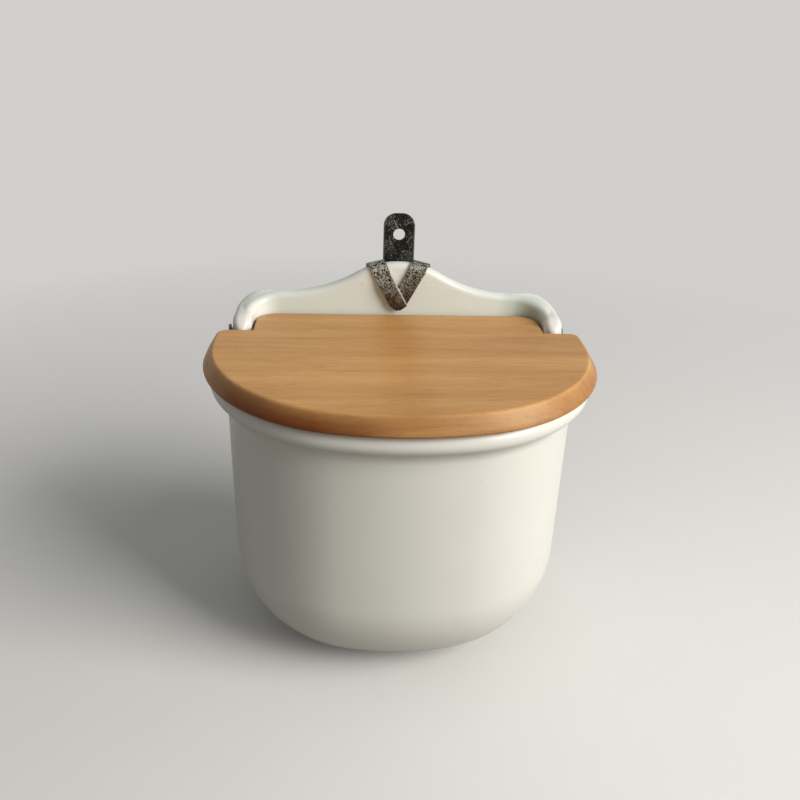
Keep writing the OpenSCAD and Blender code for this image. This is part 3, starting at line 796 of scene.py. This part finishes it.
def strap_material():
    """Old sheet iron, by place. The tongue is near black, with pale grey speckles in patches,
    paler edges and a scratch above the hole. The arms are mottled grey, darker on the right
    and brown towards the tip, with a painted highlight along the edge where the left lies over the
    right."""
    black = (0.008, 0.007, 0.006)
    speckle_grey = (0.40, 0.38, 0.35)
    cloud_grey = (0.07, 0.066, 0.062)
    side_grey = (0.17, 0.165, 0.155)
    scratch_grey = (0.42, 0.40, 0.37)
    arm_dark = (0.012, 0.011, 0.009)
    arm_grey = (0.46, 0.45, 0.385)
    right_tint = (0.66, 0.66, 0.62)
    tip_dark = (0.016, 0.012, 0.008)
    tip_brown = (0.12, 0.088, 0.06)
    painted_edge_highlight = (0.75, 0.74, 0.70)
    n = Nodes("sheet_iron")
    speckle = n.noise(n.place, 1500, 3, 0.6)
    worms = n.noise(n.mapping(move=(4, 2, 1)), 1350, 2, 0.55, 1.0)
    clouds = n.noise(n.mapping(move=(1, 7, 1)), 170, 4, 0.6)
    across, depth, up = n.axis(0), n.axis(1), n.axis(2)
    above_tip = n.plus(up, -TIP_Z * MM)

    # Tongue
    patches = n.ramp(clouds, [(0.44, 0.12), (0.58, 1.0)])
    dots = n.ramp(speckle, [(0.50, 0.0), (0.68, 1.0)])
    tongue = n.mix(n.times(dots, patches), black, speckle_grey)
    tongue = n.mix(n.ramp(clouds, [(0.50, 0.0), (0.62, 0.45)]), tongue, cloud_grey)
    sides = n.fade(n.calc("ABSOLUTE", across), [(6.0, 0.0), (6.7, 0.55), (7.0, 0.55), (7.3, 0.0)])
    tongue = n.mix(sides, tongue, side_grey)
    scratch = n.near_line(SCRATCH_X, SCRATCH_Z, EDGE_LEAN, SCRATCH_W)
    from_scratch = n.calc("ABSOLUTE", n.plus(up, -SCRATCH_Z * MM))
    in_reach = n.calc("LESS_THAN", from_scratch, SCRATCH_REACH * MM)
    tongue = n.mix(n.times(scratch, in_reach), tongue, scratch_grey)

    # Arms
    arms = n.mix(n.ramp(worms, [(0.46, 0.0), (0.55, 1.0)]), arm_dark, arm_grey)
    arms = n.tint(arms, right_tint, n.fade(across, [(3, 0.0), (6, 1.0)]))
    brown = n.mix(n.ramp(speckle, [(0.42, 0.0), (0.62, 1.0)]), tip_dark, tip_brown)
    wander = n.plus(above_tip, n.times(n.plus(clouds, -0.5), 12.5 * MM))
    arms = n.mix(n.fade(wander, [(6, 1.0), (13, 0.0)]), arms, brown)
    # Painted highlight along the left arm's edge where it lies over the right
    edge = n.near_line(EDGE_X, EDGE_Z, EDGE_LEAN, EDGE_W)
    along_edge = n.fade(above_tip, [(2, 0.0), (3.5, 0.8), (16.5, 0.8), (18, 0.0)])
    arms = n.mix(n.times(edge, along_edge), arms, painted_edge_highlight)

    behind = n.calc("GREATER_THAN", depth, (strap_high.y - TONGUE_DEPTH) * MM)
    colour = n.mix(behind, arms, tongue)
    rough = n.ramp(clouds, [(0.3, 0.38), (0.7, 0.62)])
    pits = n.bump(worms, 0.5, 0.3, n.bump(clouds, 0.4, 0.7))
    return n.finish(colour, rough, pits, Metallic=0.5, Specular_IOR_Level=0.25)


def rivet_material():
    """Rivet of the same old iron, rust brown and rubbed."""
    n = Nodes("rivet_iron")
    speckle = n.noise(n.place, 1500, 3, 0.6)
    colour = n.ramp(speckle, [(0.35, (0.05, 0.035, 0.022)), (0.65, (0.24, 0.19, 0.14))])
    rough = n.ramp(speckle, [(0.3, 0.40), (0.7, 0.6)])
    return n.finish(colour, rough, n.bump(speckle, 0.4, 0.3), Metallic=0.5)


def steel_material():
    """Dull steel of the pins."""
    n = Nodes("pin_steel")
    smudge = n.noise(n.place, 500)
    colour = n.ramp(smudge, [(0.3, (0.13, 0.125, 0.115)), (0.7, (0.26, 0.25, 0.235))])
    rough = n.ramp(smudge, [(0.3, 0.35), (0.7, 0.55)])
    return n.finish(colour, rough, n.bump(smudge, 0.2, 0.3), Metallic=0.7)


def dress(piece, material):
    piece.data.materials.clear()
    piece.data.materials.append(material)


def soften(piece, width):
    """Rounds the sharp edges of a CAD piece, after joining its loose triangles."""
    weld = piece.modifiers.new("join", "WELD")
    weld.merge_threshold = 0.01 * MM
    bevel = piece.modifiers.new("worn_edges", "BEVEL")
    bevel.width = width * MM
    bevel.segments = 2
    bevel.limit_method = "ANGLE"
    bevel.angle_limit = math.radians(35)


def build_pieces():
    """A new pot and lid in place of the CAD's, and the CAD's own pins, strap and rivet."""
    nodes = frame["nodes"]
    steel = steel_material()

    pot = ceramic_pot()
    dress(pot, glaze_material())
    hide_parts("ceramic_pot")
    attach(pot, "pot")

    lid = beech_lid()
    dress(lid, beech_material())
    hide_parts("lid")
    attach(lid, "lid")

    dress(nodes["hinge_pin_left"], steel)
    dress(nodes["hinge_pin_right"], steel)
    dress(nodes["hanger_strap"], strap_material())
    dress(nodes["hanger_rivet"], rivet_material())
    soften(nodes["hanger_rivet"], RIVET_SOFT)


# Studio


def area_light(name, place, aim, size, watts, colour):
    lamp = bpy.data.lights.new(name, "AREA")
    lamp.shape = "RECTANGLE"
    lamp.size, lamp.size_y = size
    lamp.energy = watts
    lamp.color = colour
    holder = bpy.data.objects.new(name, lamp)
    holder.location = place
    holder.rotation_euler = (Vector(aim) - Vector(place)).to_track_quat("-Z", "Y").to_euler()
    bpy.context.scene.collection.objects.link(holder)


def seen_directly(tree):
    """1 where the camera, a reflection or clear glass looks at the background, else 0."""
    path = tree.nodes.new("ShaderNodeLightPath")
    seen = path.outputs["Is Camera Ray"]
    for kind in ("Is Glossy Ray", "Is Transmission Ray"):
        node = tree.nodes.new("ShaderNodeMath")
        node.operation = "MAXIMUM"
        tree.links.new(seen, node.inputs[0])
        tree.links.new(path.outputs[kind], node.inputs[1])
        seen = node.outputs["Value"]
    return seen


def glow(tree, colour):
    node = tree.nodes.new("ShaderNodeEmission")
    node.inputs["Color"].default_value = (*colour, 1)
    return node.outputs["Emission"]


def blend(tree, fac, first, second):
    node = tree.nodes.new("ShaderNodeMixShader")
    tree.links.new(fac, node.inputs[0])
    tree.links.new(first, node.inputs[1])
    tree.links.new(second, node.inputs[2])
    return node.outputs["Shader"]


def floor_material():
    """Pale matt floor that keeps the pot's shadow near it and fades into the backdrop. Light
    that it throws back on the object comes from a quieter colour."""
    n = Nodes("pale_floor")
    grain = n.ramp(n.noise(n.place, 30, 2), [(0.0, FLOOR_SHADE), (1.0, FLOOR_PALE)])
    n.finish(grain, 0.8, Specular_IOR_Level=0.1)
    quiet = n.tree.nodes.new("ShaderNodeBsdfDiffuse")
    quiet.inputs["Color"].default_value = (*FLOOR_BOUNCE, 1)
    distance = n.tree.nodes.new("ShaderNodeVectorMath")
    distance.operation = "LENGTH"
    n.link(n.place, distance.inputs[0])
    far = n.fade(distance.outputs["Value"], [(FLOOR_NEAR, 0.0), (FLOOR_FAR, 1.0)])
    shown = blend(n.tree, far, n.shader.outputs["BSDF"], glow(n.tree, BACKDROP))
    surface = blend(n.tree, seen_directly(n.tree), quiet.outputs["BSDF"], shown)
    n.link(surface, n.tree.nodes["Material Output"].inputs["Surface"])
    return n.material


def floor_plane():
    """A wide level square at z = 0."""
    r = FLOOR_HALF * MM
    mesh = bpy.data.meshes.new("floor")
    mesh.from_pydata([(-r, -r, 0), (r, -r, 0), (r, r, 0), (-r, r, 0)], [], [(0, 1, 2, 3)])
    floor = bpy.data.objects.new("floor", mesh)
    bpy.context.scene.collection.objects.link(floor)
    dress(floor, floor_material())


def studio():
    """Even dim light from all round, one soft key light from the front right, and a plain
    backdrop where the camera or a reflection looks past the floor."""
    scene = bpy.context.scene
    scene.view_settings.view_transform = "Standard"
    world = bpy.data.worlds.new("studio")
    world.use_nodes = True
    tree = world.node_tree
    dim = tree.nodes["Background"]
    dim.inputs["Color"].default_value = (*AMBIENT, 1)
    shown = tree.nodes.new("ShaderNodeBackground")
    shown.inputs["Color"].default_value = (*BACKDROP, 1)
    surface = blend(
        tree, seen_directly(tree), dim.outputs["Background"], shown.outputs["Background"])
    tree.links.new(surface, tree.nodes["World Output"].inputs["Surface"])
    scene.world = world
    area_light("key_right", KEY_PLACE, KEY_AIM, KEY_SIZE, KEY_WATTS, KEY_COLOUR)


def camera():
    """The photograph's view: the camera looks down by PITCH and is rolled by ROLL, and it
    stands to the box as if the box were turned by BOX_TURN in front of it."""
    pitch = math.radians(PITCH)
    roll = math.radians(ROLL)
    right = Vector((1, 0, 0))
    up = Vector((0, math.sin(pitch), math.cos(pitch)))
    ahead = Vector((0, math.cos(pitch), -math.sin(pitch)))
    rolled_right = math.cos(roll) * right - math.sin(roll) * up
    rolled_up = math.sin(roll) * right + math.cos(roll) * up
    unturn = Matrix.Rotation(-math.radians(BOX_TURN), 3, "Z")
    axes = Matrix([unturn @ rolled_right, unturn @ rolled_up, unturn @ -ahead]).transposed()
    stand = unturn @ Vector((CAMERA_ACROSS * MM, -CAMERA_AWAY * MM, CAMERA_HIGH * MM))
    place = stand + Vector((0, SHIFT_Y * MM, 0))
    lens = bpy.data.cameras.new("camera")
    lens.sensor_width = SENSOR
    lens.lens = LENS
    holder = bpy.data.objects.new("camera", lens)
    holder.matrix_world = Matrix.Translation(place) @ axes.to_4x4()
    bpy.context.scene.collection.objects.link(holder)
    bpy.context.scene.camera = holder


build_pieces()
floor_plane()
studio()
camera()
